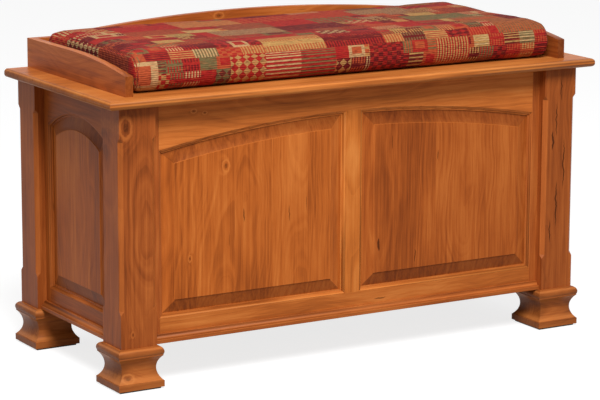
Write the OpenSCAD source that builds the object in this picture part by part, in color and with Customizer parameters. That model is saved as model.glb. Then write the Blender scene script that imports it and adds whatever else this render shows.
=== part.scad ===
// Wooden storage bench: frame and panel chest on moulded feet, hinged lid with a gallery, loose cushion.
// Millimetres. +Z up, front towards -Y. Origin: on the floor, under the middle of the outer box.

/* [Case] */
// width over the corner posts
case_w = 1046; // [900:1:1300]
// depth over the corner posts
case_d = 444; // [380:1:540]
// height of the post tops above the floor
case_h = 543; // [470:1:640]
// side of the square corner posts
post_w = 76; // [66:1:90]
// width of the stopped chamfer on each post edge
chamfer_w = 7.5; // [4:0.5:10]

/* [Feet] */
// how far the foot stands out beyond the post
foot_out = 10.5; // [6:0.5:14]
// height of the wooden foot
foot_h = 79.4; // [70:0.2:95]
// thickness of the glide pad under the foot
pad_t = 4; // [2:0.5:8]

/* [Frames and panels] */
// thickness of the frame members
frame_t = 19; // [16:0.5:22]
// set-back of the frames behind the post faces
recess = 20; // [14:1:24]
// visible width of each stile beside a post
stile_show = 25; // [22:1:40]
// width of the centre mullion
mullion_w = 50; // [40:1:80]
// height of the bottom rails
bottom_rail_h = 53; // [45:1:80]
// height of the front top rail at the crown of its arch
front_crown_h = 55.6; // [45:0.2:80]
// rise of the front arch
front_rise = 40; // [25:1:55]
// height of the side top rails at the crown of their arch
side_crown_h = 51.5; // [45:0.5:80]
// rise of the side arches
side_rise = 36; // [24:1:44]
// width of the bevel around each raised field
bevel_w = 25; // [15:1:32]

/* [Lid] */
// thickness of the lid slab
lid_t = 17; // [15:0.5:22]
// overhang of the lid beyond the posts at each end
lid_over_end = 30; // [15:1:40]
// overhang of the lid beyond the front posts
lid_over_front = 24; // [15:1:40]
// height of the gallery boards
gallery_h = 58; // [45:1:75]
// height of the back board at the crown of its arch
back_crown_h = 86.5; // [76:0.5:110]
// thickness of the gallery boards
board_t = 16; // [14:0.5:20]

/* [Cushion] */
// height of the cushion at its edges
cushion_edge_h = 72; // [45:1:90]
// crown of the cushion over its front and rear edges
cushion_crown = 8; // [4:1:18]

/* [Hidden] */
$fn = 96;
e = 1;
cut_spare = 0.5;

// feet and posts
plinth_h = 12;
bulge_h = 21.4;
cove_bite = 12;
cove_rise = 24;
cove_mid = 25;
neck_in = 1.5;
foot_half = post_w / 2 + foot_out;
post_z = pad_t + foot_h;
post_x = case_w / 2 - post_w / 2;
post_y = case_d / 2 - post_w / 2;
pad_inset = 5;
chamfer_gap_low = 65.6;
chamfer_gap_high = 55;
chamfer_stop = 8;
bolt_r = 4;
bolt_in_foot = 44;
bolt_in_post = 46;

// frames: local x along the frame, local y from the outer face inwards
span_f = case_w - 2 * post_w;
span_s = case_d - 2 * post_w;
dado_d = 10;
stick_w = 8;
stick_d = 6;
stick_r = 5;
groove_d = 8;
groove_y = 8;
groove_w = 6;
tongue_d = 6;
tongue_play = 0.1;
field_y = 1;
field_step = 1.5;
open_z = post_z + bottom_rail_h;
mould_h = 16.6;
mould_d = 14;
mould_r = 9;

// bottom and back
cleat_w = 18;
cleat_h = 15.6;
floor_t = 12;
floor_play = 0.2;
cleat_end_gap = 2;
cleat_screw_end = 111;
cleat_screw_mid = 111;
back_rail_h = 60;
back_groove_y = 6.5;
ply_t = 6;
ply_play = 1;

// hinges: three alike, axis along X behind the back rail
lid_gap = 2;
leaf_t = 1.4;
leaf_gap = 0.3;
leaf_d = 22;
leaf_w = 64;
knuckle_r = 3.4;
knuckle_w = 21.6;
knuckle_gap = 0.2;
pin_r = 1.5;
pin_fit = 0.05;
hinge_out = 3.8;
axis_z = case_h + lid_gap - leaf_t - leaf_gap / 2;
hinge_pitch = 330;
hinge_screw_in = 9.5;
hinge_screw_pitch = 22;
leaf_play = 0.1;
knuckle_clear = 0.6;
neck_lap = 0.5;

// post faces in Y, set back so that the outer box is centred on the origin
rear_out = max(foot_out, hinge_out + knuckle_r);
mid_y = (lid_over_front - rear_out) / 2;
front_y = mid_y - case_d / 2;
rear_y = mid_y + case_d / 2;
frame_back_y = front_y + recess + frame_t;
back_y = rear_y - frame_t;
axis_y = rear_y + hinge_out;
hinge_screw_y = rear_y - hinge_screw_in;

// lid, gallery and cushion
lid_z = case_h + lid_gap;
seat_z = lid_z + lid_t;
lid_x = case_w / 2 + lid_over_end;
lid_rear_in = 1.7;
lid_front = front_y - lid_over_front;
lid_back = rear_y - lid_rear_in;
lid_ease = 7;
side_board_in = 21;
side_board_set = 38;
side_board_x = case_w / 2 - side_board_in;
side_board_front = lid_front + side_board_set;
side_fall = 19.5;
side_fall_at = 30;
side_fall_y = mid_y + side_fall_at;
back_flat = 46;
strip_w = 25;
strip_l = 280;
strip_t = 2;
strip_x = 261.5;
cushion_gap = 0.3;
cushion_side_gap = 3;
cushion_back_gap = 4;
cushion_corner = 22;
cushion_front_in = 2;

// fixings
screw_r = 1.75;
screw_head_r = 3.4;
screw_fit = 0.05;
screw_tip = 3;
screw_tip_r = 0.3;
recess_w = 0.9;
recess_l = 3.6;
recess_h = 1.2;
case_screw_l = 18;
lid_screw_l = 12;
gallery_screw_l = 38;
gallery_screw_sink = 1;
gallery_front_in = 50;
gallery_mid_at = 5;
gallery_rear_in = 70;
gallery_end_in = 48.6;
gallery_mid_x = 170;
cleat_screw_l = 30;
bumper_r = 5;
bumper_t = 1.7;

// ---- corner posts, feet and pads ----

// trapezoid cut along one post edge, run out at both ends
module edge_cut() {
  low = post_z + chamfer_gap_low;
  high = case_h - chamfer_gap_high;
  deep = chamfer_w / sqrt(2);
  rotate([90, 0, 0])
    linear_extrude(4 * chamfer_w, center = true)
      polygon([[-deep, low + chamfer_stop], [-deep, high - chamfer_stop], [0, high],
               [deep, high + chamfer_stop], [deep, low - chamfer_stop], [0, low]]);
}

// post at its own centre; sx, sy point to the outer corner
module post_at(sx, sy) {
  difference() {
    translate([-post_w / 2, -post_w / 2, post_z])
      cube([post_w, post_w, case_h - post_z]);
    for (a = [45 : 90 : 315])
      rotate([0, 0, a])
        translate([post_w / sqrt(2), 0, 0])
          edge_cut();
    // groove for the side frame
    scale([sx, sy, 1])
      translate([post_w / 2 - recess - frame_t, -post_w / 2 - e, post_z - e])
        cube([frame_t, dado_d + e, case_h]);
    // groove for the front frame, or for the back rails and panel
    if (sy < 0)
      scale([sx, -1, 1])
        translate([-post_w / 2 - e, -post_w / 2 + (post_w - recess - frame_t), post_z - e])
          cube([dado_d + e, frame_t, case_h]);
    else
      scale([sx, 1, 1])
        translate([-post_w / 2 - e, post_w / 2 - frame_t + back_groove_y, post_z - e])
          cube([groove_d + e, groove_w, case_h]);
    translate([0, 0, post_z - e])
      cylinder(r = bolt_r, h = bolt_in_post + e);
  }
}

module placed(sx, sy) {
  translate([sx * post_x, mid_y + sy * post_y, 0])
    children();
}

module foot_outline() {
  deep = cove_bite - neck_in;
  cove_r = (pow(deep, 2) + pow(cove_rise, 2)) / (2 * deep);
  top = post_z - pad_t - bulge_h;
  translate([-foot_half, 0])
    square([2 * foot_half, plinth_h]);
  difference() {
    translate([-foot_half + neck_in, plinth_h - e])
      square([2 * (foot_half - neck_in), top + bulge_h / 2 - plinth_h + e]);
    for (s = [-1, 1])
      translate([s * (foot_half - cove_bite + cove_r), plinth_h + cove_mid])
        circle(r = cove_r);
  }
  translate([-foot_half + bulge_h / 2, top])
    square([2 * foot_half - bulge_h, bulge_h]);
  for (s = [-1, 1])
    translate([s * (foot_half - bulge_h / 2), top + bulge_h / 2])
      circle(r = bulge_h / 2);
}

module foot() {
  difference() {
    translate([0, 0, pad_t])
      intersection() {
        rotate([90, 0, 0])
          linear_extrude(2 * foot_half + e, center = true)
            foot_outline();
        rotate([90, 0, 90])
          linear_extrude(2 * foot_half + e, center = true)
            foot_outline();
      }
    translate([0, 0, post_z - bolt_in_foot])
      cylinder(r = bolt_r, h = bolt_in_foot + e);
  }
}

module pad() {
  side = 2 * (foot_half - pad_inset);
  translate([-side / 2, -side / 2, 0])
    cube([side, side, pad_t]);
}

module front_left_post() {
  color("#a9562a")
    placed(-1, -1)
      post_at(-1, -1);
}

module front_right_post() {
  color("#a9562a")
    placed(1, -1)
      post_at(1, -1);
}

module rear_left_post() {
  color("#a9562a")
    placed(-1, 1)
      post_at(-1, 1);
}

module rear_right_post() {
  color("#a9562a")
    placed(1, 1)
      post_at(1, 1);
}

module front_left_foot() {
  color("#9c4e26")
    placed(-1, -1)
      foot();
}

module front_right_foot() {
  color("#9c4e26")
    placed(1, -1)
      foot();
}

module rear_left_foot() {
  color("#9c4e26")
    placed(-1, 1)
      foot();
}

module rear_right_foot() {
  color("#9c4e26")
    placed(1, 1)
      foot();
}

module front_left_pad() {
  color("#2c2420")
    placed(-1, -1)
      pad();
}

module front_right_pad() {
  color("#2c2420")
    placed(1, -1)
      pad();
}

module rear_left_pad() {
  color("#2c2420")
    placed(-1, 1)
      pad();
}

module rear_right_pad() {
  color("#2c2420")
    placed(1, 1)
      pad();
}

module foot_bolts() {
  color("#8c8c90")
    for (sx = [-1, 1], sy = [-1, 1])
      placed(sx, sy)
        translate([0, 0, post_z - bolt_in_foot])
          cylinder(r = bolt_r, h = bolt_in_foot + bolt_in_post);
}

// ---- frame and panel work ----

// moulding and groove cut into an inner edge at x = 0, material on the minus side
module edge_profile_cut() {
  difference() {
    translate([-stick_w, -e])
      square([stick_w + e, stick_d + e]);
    intersection() {
      translate([-stick_w, stick_d])
        circle(r = stick_r);
      translate([-stick_w, -e])
        square([stick_r + e, stick_d + 2 * e]);
    }
  }
  translate([-groove_d, groove_y])
    square([groove_d + e, groove_w]);
}

// stile standing outwards from the opening; s = -1 left, 1 right; more is what it has to spare as a cutter
module stile(span, s, more = 0) {
  wide = stile_show + dado_d;
  scale([s, 1, 1])
    translate([span / 2 - stile_show, 0, post_z - more])
      linear_extrude(case_h - post_z + 2 * more)
        difference() {
          translate([0, -more])
            square([wide + more, frame_t + 2 * more]);
          scale([-1, 1])
            edge_profile_cut();
        }
}

module bottom_rail_blank(span) {
  half = span / 2 - stile_show + stick_w;
  translate([-half, 0, 0])
    rotate([90, 0, 90])
      linear_extrude(2 * half)
        difference() {
          translate([0, post_z])
            square([frame_t, bottom_rail_h]);
          translate([0, open_z])
            rotate(90)
              scale([1, -1])
                edge_profile_cut();
        }
}

module bottom_rail(span) {
  difference() {
    bottom_rail_blank(span);
    stile(span, -1, cut_spare);
    stile(span, 1, cut_spare);
  }
}

function arch_r(span, rise) = (pow(span / 2 - stile_show, 2) + pow(rise, 2)) / (2 * rise);

// everything below an arch, with the moulding and groove of its edge
module arch_cut(r) {
  rotate([-90, 0, 0])
    rotate_extrude($fn = 720) {
      translate([0, -e])
        square([r, frame_t + 2 * e]);
      translate([r, 0])
        scale([-1, 1])
          edge_profile_cut();
    }
}

module top_rail_blank(span, rise, crown_h) {
  half = span / 2 - stile_show + stick_w;
  r = arch_r(span, rise);
  difference() {
    translate([-half, 0, case_h - crown_h - rise - stick_w])
      cube([2 * half, frame_t, crown_h + rise + stick_w]);
    translate([0, 0, case_h - crown_h - r])
      arch_cut(r);
  }
}

module top_rail(span, rise, crown_h) {
  difference() {
    top_rail_blank(span, rise, crown_h);
    stile(span, -1, cut_spare);
    stile(span, 1, cut_spare);
  }
}

module mullion(span, rise, crown_h) {
  half = mullion_w / 2;
  difference() {
    translate([0, 0, open_z - 2 * stick_w])
      linear_extrude(case_h - crown_h - open_z + 4 * stick_w)
        difference() {
          translate([-half, 0])
            square([mullion_w, frame_t]);
          translate([half, 0])
            edge_profile_cut();
          translate([-half, 0])
            scale([-1, 1])
              edge_profile_cut();
        }
    bottom_rail_blank(span);
    top_rail_blank(span, rise, crown_h);
  }
}

// cut that bevels a panel edge; x runs from the panel edge inwards
module bevel_outline() {
  polygon([[-e, -e], [tongue_d + bevel_w, -e], [tongue_d + bevel_w, field_y + field_step],
           [tongue_d + e, groove_y + tongue_play], [-e, groove_y + tongue_play]]);
}

// raised panel filling an opening from x0 to x1 under an arch of radius r
module raised_panel(x0, x1, r, crown_z) {
  a = x0 - tongue_d;
  b = x1 + tongue_d;
  z0 = open_z - tongue_d;
  tall = crown_z + tongue_d - z0;
  back = groove_y + groove_w - tongue_play;
  rim = r + tongue_d;
  difference() {
    intersection() {
      translate([a, field_y, z0])
        cube([b - a, back - field_y, tall]);
      translate([0, 0, crown_z - r])
        rotate([-90, 0, 0])
          cylinder(r = rim, h = back, $fn = 720);
    }
    translate([a, 0, z0 - e])
      linear_extrude(tall + 2 * e)
        bevel_outline();
    translate([b, 0, z0 - e])
      linear_extrude(tall + 2 * e)
        scale([-1, 1])
          bevel_outline();
    translate([a - e, 0, z0])
      rotate([90, 0, 90])
        linear_extrude(b - a + 2 * e)
          rotate(90)
            scale([1, -1])
              bevel_outline();
    translate([0, 0, crown_z - r])
      rotate([-90, 0, 0])
        rotate_extrude($fn = 720)
          translate([rim, 0])
            scale([-1, 1])
              bevel_outline();
  }
}

// small moulding with a flat foot, a cove and a top bead
module base_moulding(span) {
  translate([-span / 2, 0, post_z])
    rotate([90, 0, 90])
      linear_extrude(span)
        difference() {
          translate([-mould_d, 0])
            square([mould_d, mould_h]);
          translate([-mould_d, mould_h])
            circle(r = mould_r);
        }
}

module front_place() {
  translate([0, front_y + recess, 0])
    children();
}

// side frames: s = -1 left, 1 right; local plus x is the front on the left and the rear on the right
module side_place(s) {
  translate([s * (case_w / 2 - recess), mid_y, 0])
    rotate([0, 0, s * 90])
      children();
}

front_crown_z = case_h - front_crown_h;
side_crown_z = case_h - side_crown_h;
front_open = span_f / 2 - stile_show;
side_open = span_s / 2 - stile_show;

module front_left_stile() {
  color("#b2602e")
    front_place()
      stile(span_f, -1);
}

module front_right_stile() {
  color("#b2602e")
    front_place()
      stile(span_f, 1);
}

module front_mullion() {
  color("#bf6a33")
    front_place()
      mullion(span_f, front_rise, front_crown_h);
}

module front_top_rail() {
  color("#b2602e")
    front_place()
      top_rail(span_f, front_rise, front_crown_h);
}

module front_bottom_rail() {
  color("#bf6a33")
    front_place()
      difference() {
        bottom_rail(span_f);
        for (x = cleat_screw_xs)
          translate([x, frame_t + cleat_w, post_z + cleat_h / 2])
            rotate([90, 0, 0])
              rotate([180, 0, 0])
                screw_body(cleat_screw_l, screw_fit);
      }
}

module front_left_panel() {
  color("#b4622f")
    front_place()
      raised_panel(-front_open, -mullion_w / 2, arch_r(span_f, front_rise), front_crown_z);
}

module front_right_panel() {
  color("#b4622f")
    front_place()
      raised_panel(mullion_w / 2, front_open, arch_r(span_f, front_rise), front_crown_z);
}

module front_base_moulding() {
  color("#a9562a")
    front_place()
      base_moulding(span_f);
}

module side_panel() {
  raised_panel(-side_open, side_open, arch_r(span_s, side_rise), side_crown_z);
}

module left_front_stile() {
  color("#98502a")
    side_place(-1)
      stile(span_s, 1);
}

module left_rear_stile() {
  color("#98502a")
    side_place(-1)
      stile(span_s, -1);
}

module left_top_rail() {
  color("#98502a")
    side_place(-1)
      top_rail(span_s, side_rise, side_crown_h);
}

module left_bottom_rail() {
  color("#98502a")
    side_place(-1)
      bottom_rail(span_s);
}

module left_panel() {
  color("#8f4b28")
    side_place(-1)
      side_panel();
}

module left_base_moulding() {
  color("#98502a")
    side_place(-1)
      base_moulding(span_s);
}

module right_front_stile() {
  color("#98502a")
    side_place(1)
      stile(span_s, -1);
}

module right_rear_stile() {
  color("#98502a")
    side_place(1)
      stile(span_s, 1);
}

module right_top_rail() {
  color("#98502a")
    side_place(1)
      top_rail(span_s, side_rise, side_crown_h);
}

module right_bottom_rail() {
  color("#98502a")
    side_place(1)
      bottom_rail(span_s);
}

module right_panel() {
  color("#8f4b28")
    side_place(1)
      side_panel();
}

module right_base_moulding() {
  color("#98502a")
    side_place(1)
      base_moulding(span_s);
}

// ---- back, bottom and cleats ----

hinge_xs = [-hinge_pitch, 0, hinge_pitch];
cleat_l = span_f - 2 * cleat_end_gap;
cleat_screw_out = cleat_l / 2 - cleat_screw_end;
cleat_screw_xs = [-cleat_screw_out, -cleat_screw_mid, cleat_screw_mid, cleat_screw_out];

// rail between the rear posts with a stub tongue at each end
module back_rail(z0, tall) {
  translate([-span_f / 2, back_y, z0])
    cube([span_f, frame_t, tall]);
  translate([-span_f / 2 - groove_d, back_y + back_groove_y, z0])
    cube([span_f + 2 * groove_d, groove_w, tall]);
}

module back_top_rail() {
  z0 = case_h - back_rail_h;
  color("#9c5229")
    difference() {
      back_rail(z0, back_rail_h);
      translate([-case_w / 2, back_y + back_groove_y, z0 - e])
        cube([case_w, groove_w, groove_d + e]);
      for (x = hinge_xs) {
        translate([x - leaf_w / 2 - leaf_play, back_y - e, axis_z - leaf_gap / 2 - leaf_t])
          cube([leaf_w + 2 * leaf_play, frame_t + 2 * e, leaf_t + e + leaf_gap]);
        for (k = [-1, 0, 1])
          translate([x + k * hinge_screw_pitch, hinge_screw_y, axis_z - leaf_gap / 2])
            screw_body(case_screw_l, screw_fit);
      }
    }
}

module back_bottom_rail() {
  color("#9c5229")
    difference() {
      back_rail(post_z, bottom_rail_h);
      translate([-case_w / 2, back_y + back_groove_y, open_z - groove_d])
        cube([case_w, groove_w, groove_d + e]);
      for (x = cleat_screw_xs)
        translate([x, back_y - cleat_w, post_z + cleat_h / 2])
          rotate([90, 0, 0])
            screw_body(cleat_screw_l, screw_fit);
    }
}

module back_panel() {
  z0 = open_z - groove_d + ply_play;
  z1 = case_h - back_rail_h + groove_d - ply_play;
  long = span_f + 2 * (groove_d - ply_play);
  color("#a5632f")
    translate([-long / 2, back_y + back_groove_y + tongue_play, z0])
      cube([long, ply_t - 2 * tongue_play, z1 - z0]);
}

module bottom_panel() {
  x0 = case_w / 2 - recess - frame_t - floor_play;
  y0 = frame_back_y + floor_play;
  y1 = back_y - floor_play;
  color("#c08a58")
    difference() {
      translate([-x0, y0, post_z + cleat_h])
        cube([2 * x0, y1 - y0, floor_t]);
      for (sx = [-1, 1], sy = [-1, 1])
        placed(sx, sy)
          translate([-post_w / 2 - floor_play, -post_w / 2 - floor_play, post_z])
            cube([post_w + 2 * floor_play, post_w + 2 * floor_play, case_h]);
    }
}

// cleat along X with its back at y0; s = 1 screwed towards plus Y, -1 towards minus Y
module cleat(y0, s) {
  difference() {
    translate([-cleat_l / 2, s > 0 ? y0 - cleat_w : y0, post_z])
      cube([cleat_l, cleat_w, cleat_h]);
    for (x = cleat_screw_xs)
      translate([x, y0 - s * cleat_w, post_z + cleat_h / 2])
        rotate([s * 90, 0, 0])
          screw_body(cleat_screw_l, screw_fit);
  }
}

module front_cleat() {
  color("#c08a58")
    cleat(frame_back_y, -1);
}

module rear_cleat() {
  color("#c08a58")
    cleat(back_y, 1);
}

// ---- fixings ----

// countersunk screw pointing down, head flush at z = 0
module screw_body(long, fit) {
  cone = screw_head_r - screw_r;
  translate([0, 0, -cone])
    cylinder(r1 = screw_r + fit, r2 = screw_head_r + fit, h = cone);
  translate([0, 0, -long + screw_tip])
    cylinder(r = screw_r + fit, h = long - screw_tip - cone);
  translate([0, 0, -long])
    cylinder(r1 = screw_tip_r + fit, r2 = screw_r + fit, h = screw_tip);
}

module screw(long) {
  difference() {
    screw_body(long, 0);
    for (a = [0, 90])
      rotate([0, 0, a])
        translate([-recess_l / 2, -recess_w / 2, -recess_h])
          cube([recess_l, recess_w, recess_h + e]);
  }
}

module cleat_screws() {
  color("#8c8c90")
    for (x = cleat_screw_xs, s = [-1, 1])
      translate([x, s > 0 ? back_y - cleat_w : frame_back_y + cleat_w,
                 post_z + cleat_h / 2])
        rotate([s * 90, 0, 0])
          screw(cleat_screw_l);
}

module lid_bumpers() {
  color("#3a3330")
    for (sx = [-1, 1], sy = [-1, 1])
      placed(sx, sy)
        translate([0, 0, case_h])
          cylinder(r = bumper_r, h = bumper_t);
}

// ---- hinges ----

module knuckle(x0, x1, bore) {
  translate([x0, 0, 0])
    rotate([0, 90, 0])
      difference() {
        cylinder(r = knuckle_r, h = x1 - x0);
        translate([0, 0, -e])
          cylinder(r = bore, h = x1 - x0 + 2 * e);
      }
}

// flat leaf with its screw holes, lying just above (s = 1) or below (s = -1) the axis plane
module leaf_plate(s) {
  clear = knuckle_r + knuckle_clear;
  z0 = s > 0 ? leaf_gap / 2 : -leaf_gap / 2 - leaf_t;
  difference() {
    translate([-leaf_w / 2, -leaf_d, z0])
      cube([leaf_w, leaf_d - clear, leaf_t]);
    for (k = [-1, 0, 1])
      translate([k * hinge_screw_pitch, hinge_screw_y - axis_y, -s * (-leaf_gap / 2)])
        scale([1, 1, -s])
          screw_body(lid_screw_l, screw_fit);
  }
}

// strip joining a leaf to its knuckle between x0 and x1
module leaf_neck(x0, x1, s, bore) {
  clear = knuckle_r + knuckle_clear;
  z0 = s > 0 ? leaf_gap / 2 : -leaf_gap / 2 - leaf_t;
  difference() {
    translate([x0, -clear - neck_lap, z0])
      cube([x1 - x0, clear + neck_lap - bore / 2, leaf_t]);
    rotate([0, 90, 0])
      translate([0, 0, x0 - e])
        cylinder(r = knuckle_r - neck_lap, h = x1 - x0 + 2 * e);
  }
}

module case_leaf(x) {
  half = knuckle_w / 2 - knuckle_gap / 2;
  color("#7b6a4c")
    translate([x, axis_y, axis_z]) {
      leaf_plate(-1);
      leaf_neck(-half, half, -1, pin_r);
      knuckle(-half, half, pin_r + pin_fit);
    }
}

module lid_leaf(x) {
  a = knuckle_w / 2 + knuckle_gap / 2;
  b = leaf_w / 2;
  color("#7b6a4c")
    translate([x, axis_y, axis_z]) {
      leaf_plate(1);
      for (s = [-1, 1]) {
        leaf_neck(s > 0 ? a : -b, s > 0 ? b : -a, 1, pin_r);
        knuckle(s > 0 ? a : -b, s > 0 ? b : -a, pin_r);
      }
    }
}

module hinge_left_case_leaf() {
  case_leaf(hinge_xs[0]);
}

module hinge_centre_case_leaf() {
  case_leaf(hinge_xs[1]);
}

module hinge_right_case_leaf() {
  case_leaf(hinge_xs[2]);
}

module hinge_left_lid_leaf() {
  lid_leaf(hinge_xs[0]);
}

module hinge_centre_lid_leaf() {
  lid_leaf(hinge_xs[1]);
}

module hinge_right_lid_leaf() {
  lid_leaf(hinge_xs[2]);
}

module hinge_case_screws() {
  color("#7b6a4c")
    for (x = hinge_xs, k = [-1, 0, 1])
      translate([x + k * hinge_screw_pitch, hinge_screw_y, axis_z - leaf_gap / 2])
        screw(case_screw_l);
}

module hinge_lid_screws() {
  color("#7b6a4c")
    for (x = hinge_xs, k = [-1, 0, 1])
      translate([x + k * hinge_screw_pitch, hinge_screw_y, axis_z + leaf_gap / 2])
        rotate([180, 0, 0])
          screw(lid_screw_l);
}

module hinge_pins() {
  color("#7b6a4c")
    for (x = hinge_xs)
      translate([x - leaf_w / 2, axis_y, axis_z])
        rotate([0, 90, 0])
          cylinder(r = pin_r, h = leaf_w);
}

// ---- lid, gallery and cushion ----

module eased_square(w, h, r) {
  translate([r, 0])
    square([w - 2 * r, h]);
  translate([0, r])
    square([w, h - 2 * r]);
  for (x = [r, w - r], y = [r, h - r])
    translate([x, y])
      circle(r = r);
}

back_board_y = lid_back - board_t;
gallery_side_ys = [side_board_front + gallery_front_in, mid_y + gallery_mid_at, lid_back - gallery_rear_in];
gallery_end_x = side_board_x - board_t - gallery_end_in;
gallery_back_xs = [-gallery_end_x, -gallery_mid_x, gallery_mid_x, gallery_end_x];

// screws that hold the gallery, seen from under the lid
module gallery_screw_spots() {
  for (s = [-1, 1], y = gallery_side_ys)
    translate([s * (side_board_x - board_t / 2), y, lid_z + gallery_screw_sink])
      rotate([180, 0, 0])
        children();
  for (x = gallery_back_xs)
    translate([x, back_board_y + board_t / 2, lid_z + gallery_screw_sink])
      rotate([180, 0, 0])
        children();
}

module gallery_screw_cut() {
  gallery_screw_spots()
    union() {
      screw_body(gallery_screw_l, screw_fit);
      cylinder(r = screw_head_r + screw_fit, h = gallery_screw_sink + e);
    }
}

module lid_slab() {
  long = 2 * lid_x;
  deep = lid_back - lid_front;
  color("#bd6b35")
    difference() {
      intersection() {
        translate([-lid_x, lid_back, lid_z])
          rotate([90, 0, 0])
            linear_extrude(deep)
              eased_square(long, lid_t, lid_ease);
        translate([-lid_x, lid_front, lid_z])
          rotate([90, 0, 90])
            linear_extrude(long)
              intersection() {
                eased_square(deep + 2 * lid_ease, lid_t, lid_ease);
                square([deep, lid_t]);
              }
      }
      gallery_screw_cut();
      for (x = hinge_xs, k = [-1, 0, 1])
        translate([x + k * hinge_screw_pitch, hinge_screw_y, axis_z + leaf_gap / 2])
          rotate([180, 0, 0])
            screw_body(lid_screw_l, screw_fit);
    }
}

// side of the gallery: level at the rear, falling in a long curve to the front
module side_outline() {
  front = side_board_front;
  r = (pow(side_fall_y - front, 2) + pow(side_fall, 2)) / (2 * side_fall);
  translate([side_fall_y - e, 0])
    square([lid_back - side_fall_y + e, gallery_h]);
  intersection() {
    translate([front, 0])
      square([side_fall_y - front, gallery_h]);
    translate([side_fall_y, gallery_h - r])
      circle(r = r, $fn = 720);
  }
}

module side_board(s) {
  difference() {
    translate([s > 0 ? side_board_x - board_t : -side_board_x, 0, seat_z])
      rotate([90, 0, 90])
        linear_extrude(board_t)
          side_outline();
    gallery_screw_cut();
  }
}

module left_gallery_board() {
  color("#b2602e")
    side_board(-1);
}

module right_gallery_board() {
  color("#b2602e")
    side_board(1);
}

module back_gallery_board() {
  half = side_board_x - board_t;
  arch = half - back_flat;
  rise = back_crown_h - gallery_h;
  r = (pow(arch, 2) + pow(rise, 2)) / (2 * rise);
  color("#b2602e")
    difference() {
      translate([0, lid_back, seat_z])
        rotate([90, 0, 0])
          linear_extrude(board_t) {
            translate([-half, 0])
              square([2 * half, gallery_h]);
            intersection() {
              translate([-arch, gallery_h - e])
                square([2 * arch, rise + e]);
              translate([0, back_crown_h - r])
                circle(r = r, $fn = 720);
            }
          }
      gallery_screw_cut();
    }
}

module gallery_screws() {
  color("#8c8c90")
    gallery_screw_spots()
      screw(gallery_screw_l);
}

module cushion_grip_strips() {
  color("#2b2725")
    for (s = [-1, 1])
      translate([s * strip_x - strip_l / 2, mid_y - strip_w / 2, seat_z])
        cube([strip_l, strip_w, strip_t]);
}

module cushion() {
  half = side_board_x - board_t - cushion_side_gap;
  y0 = side_board_front + cushion_front_in;
  y1 = back_board_y - cushion_back_gap;
  mid = (y0 + y1) / 2;
  deep = y1 - y0;
  z0 = seat_z + strip_t + cushion_gap;
  z1 = z0 + cushion_edge_h + cushion_crown;
  r = (pow(deep / 2, 2) + pow(cushion_crown, 2)) / (2 * cushion_crown);
  color("#8e3a2c")
    intersection() {
      translate([-half, y0, z0])
        linear_extrude(z1 - z0)
          eased_square(2 * half, deep, cushion_corner);
      translate([-half - e, mid, z1 - r])
        rotate([0, 90, 0])
          cylinder(r = r, h = 2 * half + 2 * e, $fn = 720);
    }
}

front_left_post();
front_right_post();
rear_left_post();
rear_right_post();
front_left_foot();
front_right_foot();
rear_left_foot();
rear_right_foot();
front_left_pad();
front_right_pad();
rear_left_pad();
rear_right_pad();
foot_bolts();
front_left_stile();
front_right_stile();
front_mullion();
front_top_rail();
front_bottom_rail();
front_left_panel();
front_right_panel();
front_base_moulding();
left_front_stile();
left_rear_stile();
left_top_rail();
left_bottom_rail();
left_panel();
left_base_moulding();
right_front_stile();
right_rear_stile();
right_top_rail();
right_bottom_rail();
right_panel();
right_base_moulding();
back_top_rail();
back_bottom_rail();
back_panel();
bottom_panel();
front_cleat();
rear_cleat();
cleat_screws();
lid_bumpers();
hinge_left_case_leaf();
hinge_centre_case_leaf();
hinge_right_case_leaf();
hinge_case_screws();
hinge_left_lid_leaf();
hinge_centre_lid_leaf();
hinge_right_lid_leaf();
hinge_lid_screws();
hinge_pins();
lid_slab();
left_gallery_board();
right_gallery_board();
back_gallery_board();
gallery_screws();
cushion_grip_strips();
cushion();
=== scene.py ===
# A wooden storage bench: frame and panel chest on moulded feet, hinged lid with a low gallery, loose cushion.
# Metres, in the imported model's frame: +Z up, front towards -Y.
import math

import bmesh
import bpy
from mathutils import Matrix, Vector, noise
from mathutils.bvhtree import BVHTree


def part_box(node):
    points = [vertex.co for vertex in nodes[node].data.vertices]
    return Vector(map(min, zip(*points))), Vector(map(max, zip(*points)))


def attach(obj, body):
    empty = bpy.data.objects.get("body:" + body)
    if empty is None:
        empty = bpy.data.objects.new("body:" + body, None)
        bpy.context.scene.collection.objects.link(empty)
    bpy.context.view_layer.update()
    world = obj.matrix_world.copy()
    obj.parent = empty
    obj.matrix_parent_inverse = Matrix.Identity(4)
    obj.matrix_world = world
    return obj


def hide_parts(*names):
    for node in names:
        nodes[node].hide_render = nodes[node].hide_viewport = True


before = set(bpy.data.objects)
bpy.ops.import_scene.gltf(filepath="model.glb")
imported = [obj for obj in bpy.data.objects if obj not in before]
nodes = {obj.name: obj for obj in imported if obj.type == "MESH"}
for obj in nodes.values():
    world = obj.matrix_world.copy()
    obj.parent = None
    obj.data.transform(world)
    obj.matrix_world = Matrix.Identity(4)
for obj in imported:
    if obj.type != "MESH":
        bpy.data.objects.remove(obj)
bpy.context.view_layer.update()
scene = bpy.context.scene


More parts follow.
